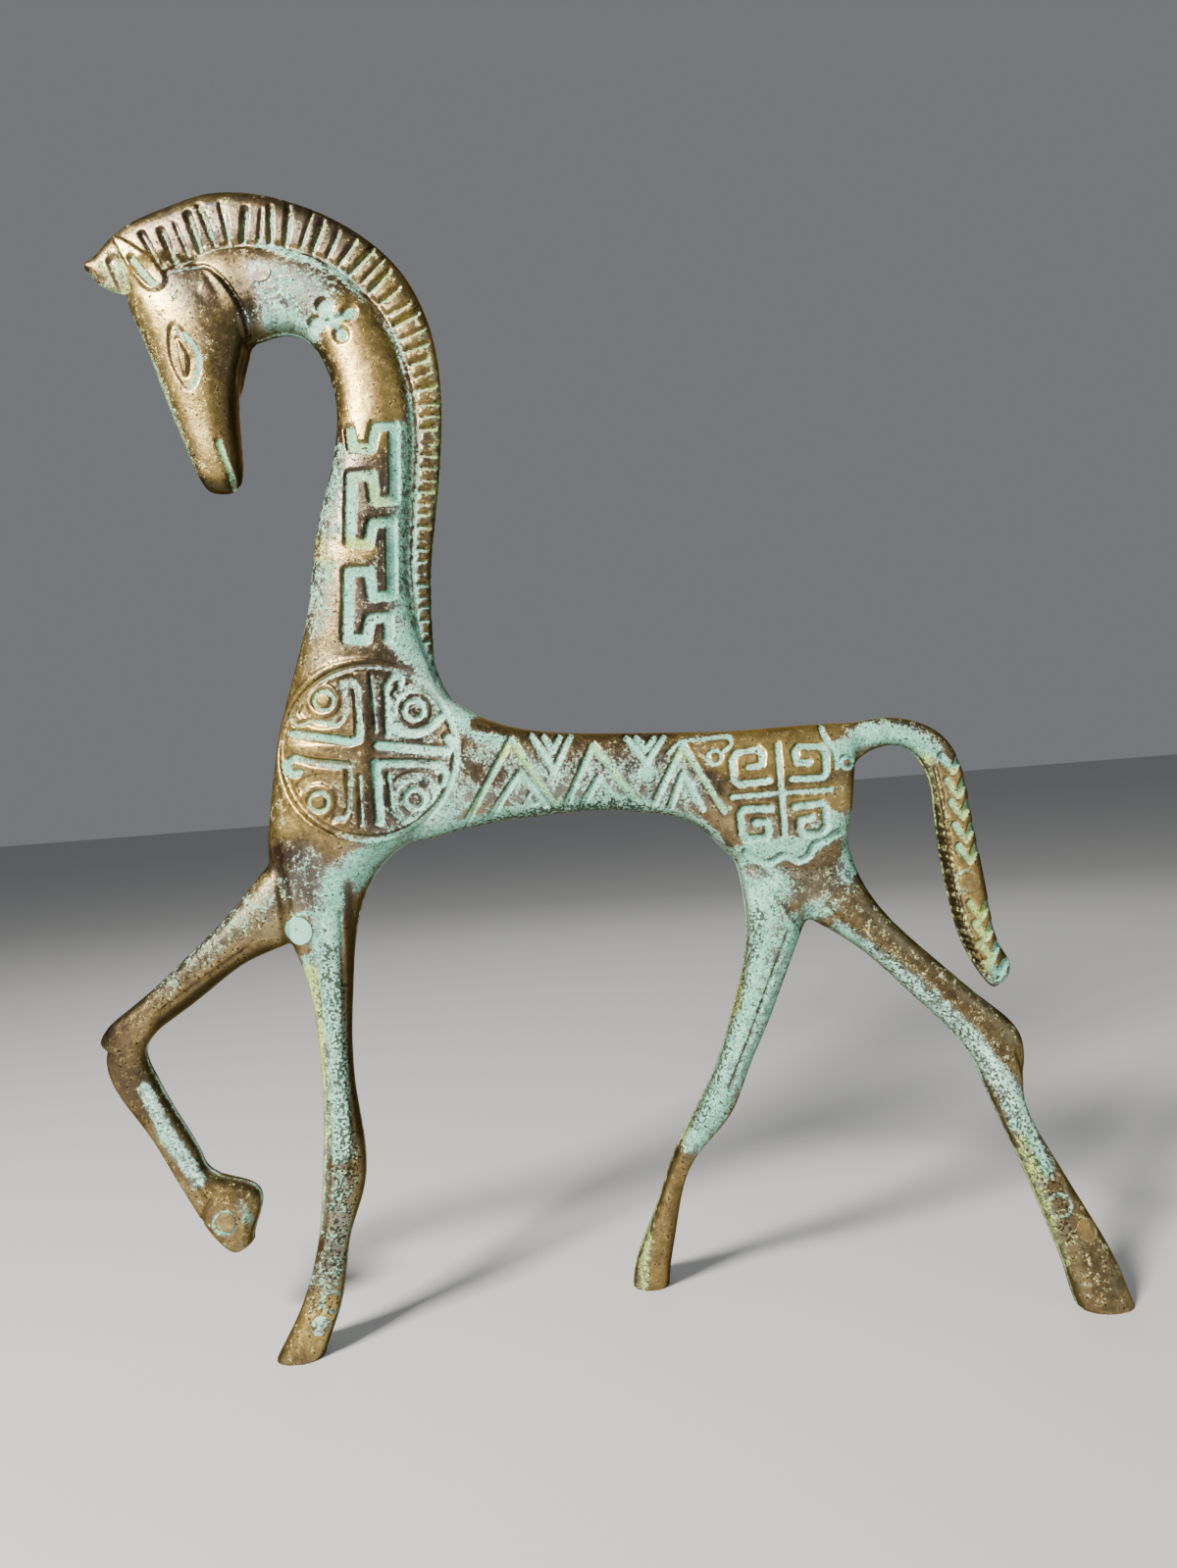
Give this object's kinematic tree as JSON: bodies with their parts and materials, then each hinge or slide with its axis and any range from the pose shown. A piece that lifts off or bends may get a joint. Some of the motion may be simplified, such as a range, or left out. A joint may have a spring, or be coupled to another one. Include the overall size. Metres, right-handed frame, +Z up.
{
  "type": "bronze horse statue",
  "caption": "Cast bronze horse figurine in Greek geometric style, arched neck, raised foreleg, long tail; two half castings pinned together, standing on three hooves.",
  "frame": {"origin": "On the ground under the middle of the statue's length and depth, in the plane of the three standing soles.", "axes": "+Z up. The head points to -X and the tail to +X. The horse's left side faces -Y."},
  "size_m": [0.2154, 0.0376, 0.2514],
  "materials": {
    "patinated_bronze": "aged bronze with green patina in the recesses",
    "pin_bronze": "dressed bronze pin ends, lightly patinated"
  },
  "bodies": {
    "root": {"left_shell": "patinated_bronze", "right_shell": "patinated_bronze", "neck_pin": "pin_bronze", "chest_pin": "pin_bronze", "flank_pin": "pin_bronze", "tail_pin": "pin_bronze", "raised_hoof_pin": "pin_bronze", "near_fore_hoof_pin": "pin_bronze", "near_hind_hoof_pin": "pin_bronze", "far_hind_hoof_pin": "pin_bronze"}
  },
  "joints": []
}
